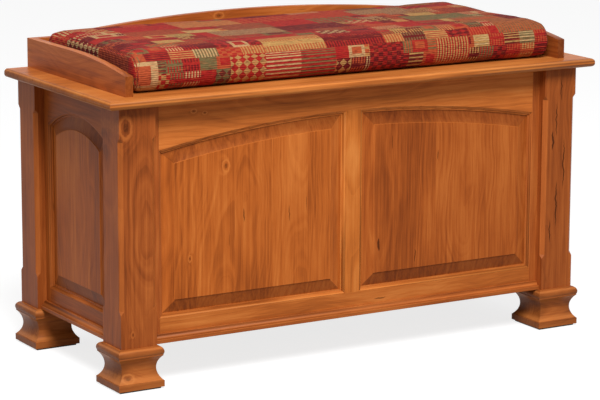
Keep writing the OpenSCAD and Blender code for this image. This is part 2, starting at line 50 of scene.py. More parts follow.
# ---- Corner posts ----
# Four square posts of rustic cherry, sawn from the solid, grain upright. A stopped chamfer runs
# down each edge, and every arris is eased with sandpaper before a satin lacquer goes on.
class Value:
    """One socket of a material's tree. Arithmetic on it adds the Math node."""

    def __init__(self, tree, socket=None):
        self.tree = tree
        self.socket = socket

    def node(self, kind, settings, inputs, output=0):
        """Any other node of this tree: settings first, then its sockets' values or links."""
        made = self.tree.nodes.new(kind)
        for key, setting in settings.items():
            if key == "stops":
                ramp = made.color_ramp
                while len(ramp.elements) < len(setting):
                    ramp.elements.new(1.0)
                for element, (position, paint) in zip(ramp.elements, setting):
                    element.position = position
                    element.color = paint
            else:
                setattr(made, key, setting)
        for key, given in inputs.items():
            if isinstance(given, Value):
                self.tree.links.new(given.socket, made.inputs[key])
            else:
                made.inputs[key].default_value = given
        return Value(self.tree, made.outputs[output]) if made.outputs else None

    def math(self, operation, *rest):
        return self.node("ShaderNodeMath", {"operation": operation}, dict(enumerate((self,) + rest)))

    def back(self, operation, first):
        return self.node("ShaderNodeMath", {"operation": operation}, {0: first, 1: self})

    def __add__(self, other):
        return self.math("ADD", other)

    __radd__ = __add__

    def __sub__(self, other):
        return self.math("SUBTRACT", other)

    def __rsub__(self, other):
        return self.back("SUBTRACT", other)

    def __mul__(self, other):
        return self.math("MULTIPLY", other)

    __rmul__ = __mul__

    def __truediv__(self, other):
        return self.math("DIVIDE", other)

    def __rtruediv__(self, other):
        return self.back("DIVIDE", other)

    def __gt__(self, other):
        return self.math("GREATER_THAN", other)

    def step(self, start, end):
        """0 before start and 1 after end, smooth between; start may be the larger."""
        return self.node("ShaderNodeMapRange", {"interpolation_type": "SMOOTHSTEP"},
                         {"Value": self, "From Min": start, "From Max": end})

    def point(self, x, y, z):
        return self.node("ShaderNodeCombineXYZ", {}, {"X": x, "Y": y, "Z": z})

    def grain_noise(self, where, detail=2.0, rough=0.5):
        return self.node("ShaderNodeTexNoise", {"noise_dimensions": "3D"},
                         {"Vector": where, "Scale": 1.0, "Detail": detail, "Roughness": rough})

    def line_noise(self, detail=2.0, rough=0.5):
        return self.node("ShaderNodeTexNoise", {"noise_dimensions": "1D"},
                         {"W": self, "Scale": 1.0, "Detail": detail, "Roughness": rough})

    def random(self, shift=0.0):
        return self.node("ShaderNodeTexWhiteNoise", {"noise_dimensions": "1D"}, {"W": self + shift})

    def blend(self, a, b, kind="MIX"):
        """Colour a where this value is 0 and b where it is 1."""
        return self.node("ShaderNodeMix", {"data_type": "RGBA", "blend_type": kind},
                         {0: self, 6: a, 7: b}, output=2)


def colour(red, green, blue):
    """A colour in 0 to 255 steps as linear light."""
    steps = [c / 255 for c in (red, green, blue)]
    return tuple(c / 12.92 if c <= 0.04045 else ((c + 0.055) / 1.055) ** 2.4 for c in steps) + (1.0,)


def new_tree(name):
    made = bpy.data.materials.new(name)
    made.use_nodes = True
    made.node_tree.nodes.clear()
    return made, Value(made.node_tree)


def finish_surface(start, sockets, fixed):
    """The shader and its output; fixed holds what is the same all over."""
    shader = start.node("ShaderNodeBsdfPrincipled", {}, {**sockets, **fixed})
    start.node("ShaderNodeOutputMaterial", {}, {"Surface": shader})


def place(start, along, across, depth, output=3):
    """Object coordinates as along the grain, across the face and into the board; output 1 is the normal."""
    where = start.node("ShaderNodeTexCoord", {}, {}, output=output)
    parts = {axis: start.node("ShaderNodeSeparateXYZ", {}, {"Vector": where}, output=i)
             for i, axis in enumerate("xyz")}
    return parts[along], parts[across], parts[depth]


def wood(name, tones, directions, heart, seed, stave=0.0, stave_start=0.0, ring=0.0042, figure=0.28,
         knots=(), cracks=(), rough=0.40):
    """Cherry. tones: dark, middle, light. directions: along, across, depth. heart: where the log's
    centre lies across and in depth. stave: width of the glued staves, if any. knots: along, across,
    radius. cracks: along, across, length, width."""
    made, start = new_tree(name)
    along, across, depth = place(start, *directions)
    luck, tone = 0.5, 0.0
    heart_across, heart_depth = heart
    if stave:
        count = ((across - stave_start) / stave).math("FLOOR")
        luck = count.random(seed)
        tone = (luck - 0.5) * 0.16
        middle = (count + 0.5) * stave + stave_start
        heart_across = middle + (count.random(seed + 3.1) - 0.5) * stave * 1.6
        heart_depth = heart_depth + (count.random(seed + 7.7) - 0.5) * 0.03
    # the trunk's slow bends, then its small waves
    drift = along * 2.3 + luck * 31.0 + seed
    bend_a = (drift.line_noise(2.0) - 0.5) * 0.060
    bend_d = ((drift + 17.3).line_noise(2.0) - 0.5) * 0.050
    wave = (start.grain_noise(start.point(across * 26.0 + seed, depth * 26.0, along * 7.0 + luck * 9.0), 2.0)
            - 0.5) * 0.010
    a = across - heart_across + bend_a
    d = depth - heart_depth + bend_d
    radius = (a * a + d * d).math("SQRT") + wave
    dark_spots = 0.0
    pale_rings = 0.0
    for knot_along, knot_across, knot_radius in knots:
        u = (along - knot_along) * 0.62
        v = across - knot_across
        rag = start.grain_noise(start.point(along * 160.0, across * 160.0, depth * 160.0 + seed), 2.0) - 0.5
        far = (u * u + v * v).math("SQRT") + rag * knot_radius * 0.9
        radius = radius + far.step(knot_radius * 5.0, knot_radius * 0.8) * knot_radius * 2.2
        dark_spots = dark_spots + far.step(knot_radius * 1.0, knot_radius * 0.5) * (0.55 + rag * 1.4)
        pale_rings = pale_rings + far.step(knot_radius * 2.4, knot_radius * 1.7) * far.step(
            knot_radius * 1.2, knot_radius * 1.6)
    for crack_along, crack_across, crack_length, crack_width in cracks:
        u = (along - crack_along).math("ABSOLUTE")
        sway = (start.grain_noise(start.point(along * 60.0, crack_across * 90.0, seed), 2.0) - 0.5) * 0.010
        v = (across - crack_across + sway).math("ABSOLUTE")
        taper = u.step(crack_length * 0.5, crack_length * 0.1)
        dark_spots = dark_spots + (v / (taper * crack_width + 0.0001)).step(1.0, 0.3) * taper.step(0.0, 0.4) * 0.9
    rings = (radius / ring + seed).line_noise(1.5, 0.6)
    late = (radius / (ring * 1.9) + seed).math("FRACT").step(0.55, 0.98)
    late = late * (radius / (ring * 5.0) + seed * 1.7).line_noise(1.0)
    fibre = start.grain_noise(
        start.point(across * 620.0 + seed, depth * 620.0, along * 11.0 + luck * 40.0), 3.0, 0.6)
    silk = start.grain_noise(
        start.point(across * 150.0, depth * 150.0 + seed, along * 4.0 + luck * 20.0), 2.0, 0.55)
    blotch = start.grain_noise(
        start.point(across * 17.0, depth * 17.0, along * 6.0 + seed + luck * 8.0), 3.0)
    pores = start.grain_noise(
        start.point(across * 1500.0, depth * 1500.0 + seed, along * 55.0), 1.0).step(0.60, 0.72)
    gum = start.grain_noise(
        start.point(across * 210.0 + seed, depth * 210.0, along * 13.0), 1.0).step(0.765, 0.81)
    shade = (0.5 + tone + (rings - 0.5) * (0.95 * figure) - late * (0.42 * figure)
             + (fibre - 0.5) * 0.44 + (silk - 0.5) * 0.54 + (blotch - 0.5) * 0.66)
    dark, middle_tone, light = tones
    base = shade.node("ShaderNodeValToRGB", {"stops": [(0.12, dark), (0.48, middle_tone), (0.86, light)]},
                      {"Fac": shade})
    # stain soaks into end grain, which is darker; arrises and chamfers, where the face turns off the axes, get a
    # painted highlight
    turn_along, turn_across, turn_depth = (part.math("ABSOLUTE") for part in place(start, *directions, output=1))
    end_grain = turn_along.step(0.07, 0.24)
    painted_arris_highlight = (1 - turn_along.math("MAXIMUM", turn_across.math("MAXIMUM", turn_depth))).step(0.10, 0.27)
    base = (end_grain * 0.42).blend(base, tuple(c * 0.45 for c in dark[:3]) + (1.0,))
    # painted highlight: arrises and chamfers lightened towards the light tone
    base = (painted_arris_highlight * 0.34).blend(base, tuple(min(1.0, c * 1.25) for c in light[:3]) + (1.0,))
    if knots:
        base = (pale_rings * 0.60).blend(base, light)
    base = (pores * 0.20).blend(base, dark)
    marks = (gum * 0.60 + dark_spots).math("MINIMUM", 1.0)
    base = (marks * 0.88).blend(base, tuple(c * 0.16 for c in dark[:3]) + (1.0,))
    height = fibre * 0.5 - pores * 0.6 - marks * 0.9
    bump = start.node("ShaderNodeBump", {}, {"Strength": 0.30, "Distance": 0.00020, "Height": height})
    finish_surface(start, {
        "Base Color": base,
        "Roughness": rough + (silk - 0.5) * 0.10 + pores * 0.08 + marks * 0.20,
        "Normal": bump,
    }, {"Specular IOR Level": 0.09})
    return made


def ease(name, width, steps=2):
    """Rounds a CAD node's arrises, as sandpaper does."""
    weld = nodes[name].modifiers.new("joined corners", "WELD")
    weld.merge_threshold = 0.00002
    bevel = nodes[name].modifiers.new("eased arrises", "BEVEL")
    bevel.width = width
    bevel.segments = steps
    bevel.limit_method = "ANGLE"
    bevel.angle_limit = math.radians(38)
    bevel.miter_outer = "MITER_ARC"
    bevel.harden_normals = False


def dress(name, material):
    for slot in nodes[name].material_slots:
        slot.material = material


POST_TONES = (colour(98, 44, 16), colour(151, 76, 31), colour(184, 102, 46))
POST_HEARTS = {"front_left_post": (0.02, 0.05), "front_right_post": (-0.03, 0.04),
               "rear_left_post": (0.03, 0.03), "rear_right_post": (-0.02, 0.05)}
POST_KNOTS = {"front_left_post": [(0.507, -0.509, 0.0072), (0.110, -0.498, 0.0022)]}
POST_CRACKS = {"front_right_post": [(0.500, 0.487, 0.06, 0.0016), (0.438, 0.477, 0.09, 0.0018),
                                    (0.395, 0.468, 0.05, 0.0034), (0.345, 0.497, 0.13, 0.0022),
                                    (0.262, 0.480, 0.12, 0.0026), (0.205, 0.466, 0.06, 0.0018)]}
for number, (name, (right, back)) in enumerate(POST_HEARTS.items()):
    low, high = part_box(name)
    middle_x = (low[0] + high[0]) / 2
    dress(name, wood("cherry_" + name, POST_TONES, ("z", "x", "y"), (middle_x + right, low[1] + back),
                     2.7 + 5.3 * number, knots=POST_KNOTS.get(name, ()), cracks=POST_CRACKS.get(name, ())))
    ease(name, 0.0011)


# ---- Feet and their glide pads ----
# A square block under each post, run through a moulder on all four sides: flat plinth, deep cove,
# round shoulder. A thin black glide pad is stuck under each.
FOOT_TONES = (colour(106, 52, 20), colour(158, 86, 38), colour(190, 116, 58))
for number, corner in enumerate(("front_left", "front_right", "rear_left", "rear_right")):
    low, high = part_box(corner + "_foot")
    knots = [(-0.510, 0.026, 0.0045)] if corner == "front_left" else ()
    dress(corner + "_foot", wood(
        "cherry_" + corner + "_foot", FOOT_TONES, ("x", "z", "y"),
        (0.04, (low[1] + high[1]) / 2 + 0.07), 11.9 + 3.7 * number, knots=knots))
    ease(corner + "_foot", 0.0010)

made, start = new_tree("pressed_felt")
where = start.node("ShaderNodeTexCoord", {}, {}, output=3)
fluff = start.grain_noise(start.node("ShaderNodeVectorMath", {"operation": "SCALE"},
                                     {0: where, "Scale": 900.0}), 3.0, 0.6)
finish_surface(start, {
    "Base Color": fluff.blend(colour(24, 20, 18), colour(58, 50, 45)),
    "Roughness": 0.86 + fluff * 0.10,
    "Normal": start.node("ShaderNodeBump", {}, {"Strength": 0.5, "Distance": 0.0004, "Height": fluff}),
}, {"Specular IOR Level": 0.2})
for corner in ("front_left", "front_right", "rear_left", "rear_right"):
    dress(corner + "_pad", made)
    ease(corner + "_pad", 0.0008)


# ---- Front frame ----
# Stiles, rails and a mullion of cherry, coped and glued, with a moulded edge worked on the inside.
# The top rail is cut to one long arch over both panels.
STILE_TONES = (colour(106, 48, 18), colour(162, 82, 34), colour(192, 112, 52))
# The top rail's tones are painted lighter than the stiles', as painted light that lifts the shade under the lid's
# overhang.
TOP_RAIL_LIGHTENED_TONES = (colour(134, 66, 26), colour(196, 108, 46), colour(222, 138, 70))
FRONT_PARTS = {
    "front_left_stile": ("z", "x", (-0.41, 0.05), STILE_TONES),
    "front_right_stile": ("z", "x", (0.47, 0.04), STILE_TONES),
    "front_mullion": ("z", "x", (0.01, 0.06), (colour(130, 64, 22), colour(192, 106, 42), colour(218, 138, 68))),
    "front_top_rail": ("x", "z", (0.54, 0.05), TOP_RAIL_LIGHTENED_TONES),
    "front_bottom_rail": ("x", "z", (0.09, 0.05), (colour(122, 58, 20), colour(180, 98, 40), colour(210, 130, 64))),
}
FRONT_KNOTS = {"front_top_rail": [(-0.355, 0.523, 0.0022), (-0.331, 0.518, 0.0018)]}
FRONT_CRACKS = {"front_bottom_rail": [(0.066, 0.109, 0.035, 0.0014)]}
for number, (name, (along, across, (side, back), tones)) in enumerate(FRONT_PARTS.items()):
    low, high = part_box(name)
    dress(name, wood("cherry_" + name, tones, (along, across, "y"), (side, low[1] + back), 31.1 + 2.9 * number,
                     knots=FRONT_KNOTS.get(name, ()), cracks=FRONT_CRACKS.get(name, ())))
    ease(name, 0.0006, 1)


# ---- Raised panels ----
# Glued up from upright cherry staves, bevelled on all four sides on a shaper, and left loose in
# the frame's groove. The staves differ a little in tone.
PANEL_TONES = (colour(120, 54, 16), colour(178, 92, 34), colour(206, 120, 54))
PANELS = {
    "front_left_panel": (("z", "x", "y"), 0.082, -0.43, 0.055, PANEL_TONES, 51.7,
                         [(0.411, -0.285, 0.0042), (0.238, -0.364, 0.0022)],
                         [(0.311, -0.246, 0.034, 0.0016), (0.304, -0.145, 0.040, 0.0012)]),
    "front_right_panel": (("z", "x", "y"), 0.088, 0.02, 0.055,
                          (colour(110, 48, 15), colour(165, 83, 31), colour(196, 112, 50)), 63.2, [],
                          [(0.218, 0.061, 0.034, 0.0038), (0.187, 0.149, 0.035, 0.0014), (0.387, 0.201, 0.025, 0.0014)]),
    "left_panel": (("z", "y", "x"), 0.085, -0.13, 0.055,
                   (colour(110, 48, 14), colour(166, 84, 30), colour(196, 112, 46)), 71.9,
                   [(0.131, 0.082, 0.0025), (0.101, 0.024, 0.0022)], []),
    "right_panel": (("z", "y", "x"), 0.085, -0.12, 0.055, PANEL_TONES, 88.3, [(0.36, 0.03, 0.0035)], []),
}
for name, (directions, stave, first, back, tones, seed, knots, cracks) in PANELS.items():
    low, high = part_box(name)
    if directions[2] == "y":
        depth = low[1] + back
    elif name.startswith("left"):
        depth = low[0] + back
    else:
        depth = high[0] - back
    dress(name, wood("cherry_" + name, tones, directions, (0.0, depth), seed, stave=stave, stave_start=first,
                     knots=knots, cracks=cracks))
    ease(name, 0.0006, 1)


# ---- Side frames ----
# One arched frame at each end, made as the front one is, with its stiles let into the posts.
SIDE_TONES = (colour(98, 44, 14), colour(152, 76, 28), colour(184, 102, 42))
for side, face in (("left", 0), ("right", 1)):
    for number, (part, along, across, centre) in enumerate((
            ("front_stile", "z", "y", -0.10), ("rear_stile", "z", "y", 0.17),
            ("top_rail", "y", "z", 0.56), ("bottom_rail", "y", "z", 0.07))):
        name = side + "_" + part
        low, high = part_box(name)
        depth = low[0] + 0.05 if side == "left" else high[0] - 0.05
        dress(name, wood("cherry_" + name, SIDE_TONES, (along, across, "x"), (centre, depth),
                         101.3 + 17.0 * face + 3.3 * number))
        ease(name, 0.0006, 1)


# ---- Base mouldings ----
# A small cove moulding, glued along the foot of each visible frame.
MOULDING_TONES = (colour(106, 48, 18), colour(158, 82, 34), colour(190, 110, 52))
for name, along in (("front_base_moulding", "x"), ("left_base_moulding", "y"), ("right_base_moulding", "y")):
    low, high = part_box(name)
    across = "y" if along == "x" else "x"
    dress(name, wood("cherry_" + name, MOULDING_TONES, (along, "z", across), (0.05, low["xy".index(across)] + 0.03),
                     140.0 + low[0]))
    ease(name, 0.0005, 1)


# ---- Back, bottom and cleats ----
# Plainer stuff: cherry rails with a thin panel let in behind, and a birch bottom on two cleats.
BACK_TONES = (colour(116, 58, 27), colour(168, 96, 48), colour(198, 124, 68))
INNER_TONES = (colour(150, 106, 62), colour(190, 146, 96), colour(214, 176, 128))
for number, (name, along, across, depth_axis, tones, stave) in enumerate((
        ("back_top_rail", "x", "z", "y", BACK_TONES, 0.0), ("back_bottom_rail", "x", "z", "y", BACK_TONES, 0.0),
        ("back_panel", "x", "z", "y", INNER_TONES, 0.19), ("bottom_panel", "x", "y", "z", INNER_TONES, 0.16),
        ("front_cleat", "x", "z", "y", INNER_TONES, 0.0), ("rear_cleat", "x", "z", "y", INNER_TONES, 0.0))):
    low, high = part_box(name)
    dress(name, wood("plain_" + name, tones, (along, across, depth_axis),
                     (0.3, high["xyz".index(depth_axis)] - 0.06), 160.0 + 7.1 * number, stave=stave, rough=0.5))
    ease(name, 0.0006, 1)


# ---- Bolts, screws and bumpers ----
# Zinc plated bolts in the feet, countersunk screws in the cleats and under the gallery, and a
# soft rubber button on each post for the lid to come down on.
def metal(name, dull, bright, rough, streak):
    """Plated or rolled metal with fine marks from handling."""
    made, start = new_tree(name)
    x, y, z = place(start, "x", "y", "z")
    cloud = start.grain_noise(start.point(x * 220.0, y * 220.0, z * 220.0), 4.0, 0.6)
    marks = start.grain_noise(start.point(x * streak, y * 2600.0, z * 2600.0), 2.0)
    finish_surface(start, {
        "Base Color": (cloud * 0.6 + marks * 0.4).blend(dull, bright),
        "Roughness": rough + (cloud - 0.5) * 0.20,
        "Normal": start.node("ShaderNodeBump", {}, {"Strength": 0.25, "Distance": 0.00008, "Height": marks}),
    }, {"Metallic": 1.0})
    return made


zinc = metal("zinc_plate", colour(122, 124, 128), colour(184, 186, 190), 0.34, 300.0)
for name in ("foot_bolts", "cleat_screws", "gallery_screws"):
    dress(name, zinc)
made, start = new_tree("soft_rubber")
x, y, z = place(start, "x", "y", "z")
bloom = start.grain_noise(start.point(x * 400.0, y * 400.0, z * 400.0), 3.0)
finish_surface(start, {
    "Base Color": bloom.blend(colour(34, 30, 28), colour(62, 56, 52)),
    "Roughness": 0.6 + bloom * 0.2,
    "Normal": start.node("ShaderNodeBump", {}, {"Strength": 0.2, "Distance": 0.0001, "Height": bloom}),
}, {"Specular IOR Level": 0.3})
dress("lid_bumpers", made)


# ---- Hinges ----
# Three butt hinges of antiqued brass: two leaves, a rolled knuckle of three parts and a pin,
# each leaf held by three countersunk screws.
brass = metal("antique_brass", colour(92, 70, 38), colour(156, 126, 72), 0.36, 500.0)
for name in ("hinge_left_case_leaf", "hinge_centre_case_leaf", "hinge_right_case_leaf", "hinge_left_lid_leaf",
             "hinge_centre_lid_leaf", "hinge_right_lid_leaf", "hinge_case_screws", "hinge_lid_screws",
             "hinge_pins"):
    dress(name, brass)


# ---- Lid slab ----
# One wide board glued up from cherry staves that run the length of the bench, with a rounded
# edge at the front and ends.
LID_TONES = (colour(118, 58, 22), colour(176, 98, 42), colour(206, 130, 64))
low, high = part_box("lid_slab")
dress("lid_slab", wood("cherry_lid_slab", LID_TONES, ("x", "y", "z"), (0.0, low[2] - 0.03), 203.1,
                       stave=0.104, stave_start=low[1] - 0.02, ring=0.0038))
ease("lid_slab", 0.0005, 1)


# ---- Gallery ----
# Three boards stand on the lid, screwed from below: the ends fall in a long curve to the front
# and the back one rises to a shallow arch.
GALLERY_TONES = (colour(114, 52, 19), colour(170, 88, 36), colour(200, 118, 56))
# The right end board is painted darker, as painted shade for the cushion's shadow on its inner face.
RIGHT_END_SHADED_TONES = (colour(96, 42, 15), colour(144, 72, 29), colour(174, 98, 44))
for name, tones, directions, heart, seed, knots in (
        ("left_gallery_board", GALLERY_TONES, ("y", "z", "x"), (0.57, -0.45), 221.5, ()),
        ("right_gallery_board", RIGHT_END_SHADED_TONES, ("y", "z", "x"), (0.55, 0.45), 233.9, ()),
        ("back_gallery_board", GALLERY_TONES, ("x", "z", "y"), (0.60, 0.27), 247.3, [(-0.076, 0.638, 0.0040)])):
    dress(name, wood("cherry_" + name, tones, directions, heart, seed, knots=knots))
    ease(name, 0.0014)


# ---- Grip strips ----
# Two strips of woven non-slip tape stuck on the slab, which keep the cushion where it is put.
made, start = new_tree("grip_tape")
x, y, z = place(start, "x", "y", "z")
web = (x * 2600.0).math("SINE") * (y * 2600.0).math("SINE")
finish_surface(start, {
    "Base Color": web.step(-0.4, 0.6).blend(colour(24, 23, 22), colour(56, 53, 50)),
    "Roughness": 0.8 + web * 0.08,
    "Normal": start.node("ShaderNodeBump", {}, {"Strength": 0.5, "Distance": 0.0004, "Height": web}),
}, {"Specular IOR Level": 0.2})
dress("cushion_grip_strips", made)


# ---- Cushion ----
# A foam block in a boxed cover of ribbed chenille, woven as a patchwork of small blocks. The
# cloth runs in one piece over the front, the top and the rear; a side panel is sewn in at each end.
cushion_low, cushion_high = (Vector(corner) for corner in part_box("cushion"))
INSET = 0.004
FRONT_ROUND = 0.034
REAR_ROUND = 0.022
BASE_ROUND = 0.025


def rounded_block(low, high):
    """The foam block: a waterfall front edge, smaller rounds elsewhere."""
    mesh = bmesh.new()
    bmesh.ops.create_cube(mesh, size=1.0)
    for vert in mesh.verts:
        vert.co = Vector(low[i] + (vert.co[i] + 0.5) * (high[i] - low[i]) for i in range(3))

    def round_off(test, radius, segments):
        picked = [e for e in mesh.edges if test((e.verts[0].co + e.verts[1].co) / 2, e)]
        bmesh.ops.bevel(mesh, geom=picked, offset=radius, offset_type="OFFSET", segments=segments,
                        profile=0.5, affect="EDGES")

    def along_x(e):
        return abs((e.verts[0].co - e.verts[1].co).normalized().x) > 0.99

    round_off(lambda m, e: along_x(e) and m.z > high.z - 1e-5 and m.y < low.y + 1e-5, FRONT_ROUND, 8)
    round_off(lambda m, e: along_x(e) and m.z > high.z - 1e-5 and m.y > high.y - 1e-5, REAR_ROUND, 6)
    round_off(lambda m, e: along_x(e) and m.z < low.z + 1e-5, BASE_ROUND, 4)
    return mesh


block = rounded_block(cushion_low + Vector((INSET, INSET, 0.0015)), cushion_high - Vector((INSET, INSET, INSET)))
block_mesh = bpy.data.meshes.new("cushion_cover")
block.to_mesh(block_mesh)
block.free()
cushion = bpy.data.objects.new("cushion_cover", block_mesh)
scene.collection.objects.link(cushion)
REMESH = 0.0065
CUSHION_TOP = cushion_high.z - 0.0040
PUFF_CAP = 0.0065


def frozen(piece, name):
    """The piece's mesh as its modifiers leave it, with the modifiers gone."""
    graph = bpy.context.evaluated_depsgraph_get()
    mesh = bpy.data.meshes.new_from_object(piece.evaluated_get(graph))
    piece.modifiers.clear()
    old = piece.data
    piece.data = mesh
    bpy.data.meshes.remove(old)
    mesh.name = name


# the block becomes an even net of small faces, and its sharp edges soften
remesh = cushion.modifiers.new("even net", "REMESH")
remesh.mode = "VOXEL"
remesh.voxel_size = REMESH
soften = cushion.modifiers.new("soft edges", "SMOOTH")
soften.factor = 0.5
soften.iterations = 6
frozen(cushion, "cushion_cover")

# the foam presses the cover outwards
resting = [vert.co.copy() for vert in cushion.data.vertices]
cloth = cushion.modifiers.new("cover", "CLOTH")
cloth.settings.quality = 4
cloth.settings.mass = 0.3
cloth.settings.tension_stiffness = 18
cloth.settings.compression_stiffness = 18
cloth.settings.shear_stiffness = 8
cloth.settings.bending_stiffness = 1.2
cloth.settings.use_pressure = True
cloth.settings.uniform_pressure_force = 4.0
cloth.settings.effector_weights.gravity = 0.0
cloth.point_cache.frame_start = 1
cloth.point_cache.frame_end = 20
for moment in range(1, 21):
    scene.frame_set(moment)
frozen(cushion, "cushion_cover")
scene.frame_set(1)
for vert, before in zip(cushion.data.vertices, resting):
    moved = vert.co - before
    if moved.length > PUFF_CAP:
        vert.co = before + moved * (PUFF_CAP / moved.length)

# sides drawn in between the corners, a level seat underneath and a crown on top
middle = (cushion_low + cushion_high) / 2
half = (cushion_high - cushion_low) / 2
tallest = max(vert.co.z for vert in cushion.data.vertices)
stretch = (CUSHION_TOP - cushion_low.z) / (tallest - cushion_low.z)


def held(value, low, high, give):
    """value kept between low and high, easing in over the last stretch."""
    if value > high - give:
        return high - give * math.exp(-(value - high + give) / give)
    if value < low + give:
        return low + give * math.exp((value - low - give) / give)
    return value


for vert in cushion.data.vertices:
    x, y, z = vert.co
    s, t = (x - middle.x) / half.x, (y - middle.y) / half.y
    across, up = max(0.0, 1 - s * s), max(0.0, 1 - t * t)
    z = cushion_low.z + (z - cushion_low.z) * stretch
    lift = max(0.0, (z - cushion_low.z) / (2 * half.z))
    y -= math.copysign(0.0035 * across * abs(t) ** 4, t)
    x -= math.copysign(0.0045 * up * abs(s) ** 6, s)
    dent = noise.noise(Vector((x * 7.0, y * 9.0, 4.2))) * 0.0016 + noise.noise(
        Vector((x * 21.0, y * 26.0, z * 26.0))) * 0.0007
    z += dent * lift
    vert.co = (held(x, cushion_low.x, cushion_high.x, 0.004), held(y, cushion_low.y, cushion_high.y, 0.004),
               max(held(z, cushion_low.z - 1.0, cushion_high.z, 0.0015), cushion_low.z + 0.0002))

finer = cushion.modifiers.new("finer net", "SUBSURF")
finer.levels = finer.render_levels = 1
frozen(cushion, "cushion_cover")
for face in cushion.data.polygons:
    face.use_smooth = True

# the end seams sit where the surface turns from the wrap to the end panel
SEAM_TURN = 0.70
SEAM_DEPTH = 0.0020
normals = [vert.normal.copy() for vert in cushion.data.vertices]
for vert, normal in zip(cushion.data.vertices, normals):
    if abs(vert.co.x - middle.x) > half.x - 0.03:
        off = (abs(normal.x) - SEAM_TURN) / 0.16
        vert.co -= normal * (SEAM_DEPTH * math.exp(-off * off))
        vert.co.z = max(vert.co.z, cushion_low.z + 0.0002)
cushion.data.update()

# cloth coordinates in metres: over the front, the top and the rear, or flat on an end panel
weave = cushion.data.uv_layers.new(name="weave")


def along_wrap(y, z):
    """Distance along the cloth from the front edge of the top, over its rounded edges."""
    front, rear = cushion_low.y + FRONT_ROUND, cushion_high.y - REAR_ROUND
    if y < front:
        level = cushion_high.z - FRONT_ROUND
        if z > level:
            return front - FRONT_ROUND * math.atan2(front - y, z - level)
        return front - FRONT_ROUND * math.pi / 2 - (level - z)
    if y > rear:
        level = cushion_high.z - REAR_ROUND
        if z > level:
            return rear + REAR_ROUND * math.atan2(y - rear, z - level)
        return rear + REAR_ROUND * math.pi / 2 + (level - z)
    return y


for face in cushion.data.polygons:
    at_end = abs(face.normal.x) > SEAM_TURN and abs(face.center.x - middle.x) > half.x - 0.04
    for loop in face.loop_indices:
        x, y, z = cushion.data.vertices[cushion.data.loops[loop].vertex_index].co
        weave.data[loop].uv = (y + 2.0, z) if at_end else (x, along_wrap(y, z))

made, start = new_tree("patchwork_chenille")
cloth_point = start.node("ShaderNodeUVMap", {"uv_map": "weave"}, {})
u = start.node("ShaderNodeSeparateXYZ", {}, {"Vector": cloth_point}, output=0)
v = start.node("ShaderNodeSeparateXYZ", {}, {"Vector": cloth_point}, output=1)
CRIMSON, BURGUNDY, RUST = colour(176, 40, 36), colour(112, 30, 30), colour(190, 86, 50)
GOLD, BEIGE, OLIVE = colour(196, 150, 88), colour(206, 168, 116), colour(120, 104, 66)
YARNS = [(0.0, CRIMSON), (0.26, BURGUNDY), (0.44, GOLD), (0.58, RUST), (0.72, OLIVE), (0.86, BEIGE)]
GROUNDS = [(0.0, CRIMSON), (0.34, BURGUNDY), (0.58, RUST), (0.78, GOLD), (0.85, OLIVE), (0.91, CRIMSON)]


def wave_of(value, pitch, share):
    return (value / pitch).math("FRACT") > share


def patches(width, height, seed):
    """Blocks in rows of uneven width: their colour, and the luck that picks them."""
    row = (v / height + seed).math("FLOOR")
    row_luck = row.random(seed)
    across = u / (width * (0.75 + row_luck * 0.9)) + row_luck * 13.0
    block = across.math("FLOOR") * 7.31 + row * 19.73
    lucks = [block.random(seed + shift) for shift in (0.2, 5.4, 9.8, 14.6)]
    ru, rv = across.math("FRACT") - 0.5, (v / height + seed).math("FRACT") - 0.5
    bars = wave_of(u, 0.0064, 0.5)
    steps = wave_of(v, 0.0080, 0.55)
    check = ((u / 0.0105).math("FLOOR") + (v / 0.0090).math("FLOOR")).math("MODULO", 2.0).math("ABSOLUTE")
    gem = ((u / 0.018).math("FRACT") - 0.5).math("ABSOLUTE") + ((v / 0.016).math("FRACT") - 0.5).math("ABSOLUTE")
    frame_in = ru.math("ABSOLUTE").math("MAXIMUM", rv.math("ABSOLUTE")) > 0.30
    ladder = bars * (rv.math("ABSOLUTE") > 0.12)
    fill = lucks[2]
    mask = bars * (1 - (fill > 0.30))
    for motif, first, last in ((steps, 0.30, 0.42), (check, 0.42, 0.52), (gem > 0.52, 0.52, 0.64),
                               (frame_in, 0.64, 0.78), (ladder, 0.78, 1.0)):
        mask = mask + motif * (fill > first) * (1 - (fill > last))
    ground = lucks[0].node("ShaderNodeValToRGB", {"stops": GROUNDS}, {"Fac": lucks[0]})
    figure = lucks[1].node("ShaderNodeValToRGB", {"stops": YARNS}, {"Fac": lucks[1]})
    for ramp in (ground, figure):
        ramp.socket.node.color_ramp.interpolation = "CONSTANT"
    return (mask * 0.88).blend(ground, figure), lucks[3]


small, small_luck = patches(0.041, 0.033, 3.0)
large, large_luck = patches(0.092, 0.066, 8.0)
pattern = (large_luck > 0.58).blend(small, large)
RIB = 0.0040
rib = (v * (2 * math.pi / RIB)).math("SINE")
slub = start.grain_noise(start.point(u * 110.0, v * 420.0, 3.7), 3.0, 0.6)
streak = start.grain_noise(start.point(u * 62.0, v * 330.0, 9.1), 2.0)
light = start.grain_noise(start.point(u * 1500.0, v * 1500.0, 1.3), 1.0)
pattern = (streak.step(0.54, 0.66) * 0.46).blend(pattern, RUST)
pattern = (streak.step(0.46, 0.34) * 0.50).blend(pattern, colour(92, 30, 28))
tone = 0.72 + (slub - 0.5) * 0.85 + rib * 0.10
pattern = start.node("ShaderNodeVectorMath", {"operation": "SCALE"}, {0: pattern, "Scale": tone})
finish_surface(start, {
    "Base Color": pattern,
    "Roughness": 0.82 + (light - 0.5) * 0.16,
    "Normal": start.node("ShaderNodeBump", {}, {
        "Strength": 0.55, "Distance": 0.0010, "Height": rib * 0.5 + slub * 0.9 + light * 0.25}),
}, {"Specular IOR Level": 0.06, "Sheen Weight": 0.02, "Sheen Roughness": 0.5})
cushion.data.materials.clear()
cushion.data.materials.append(made)

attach(cushion, "cushion")
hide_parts("cushion")


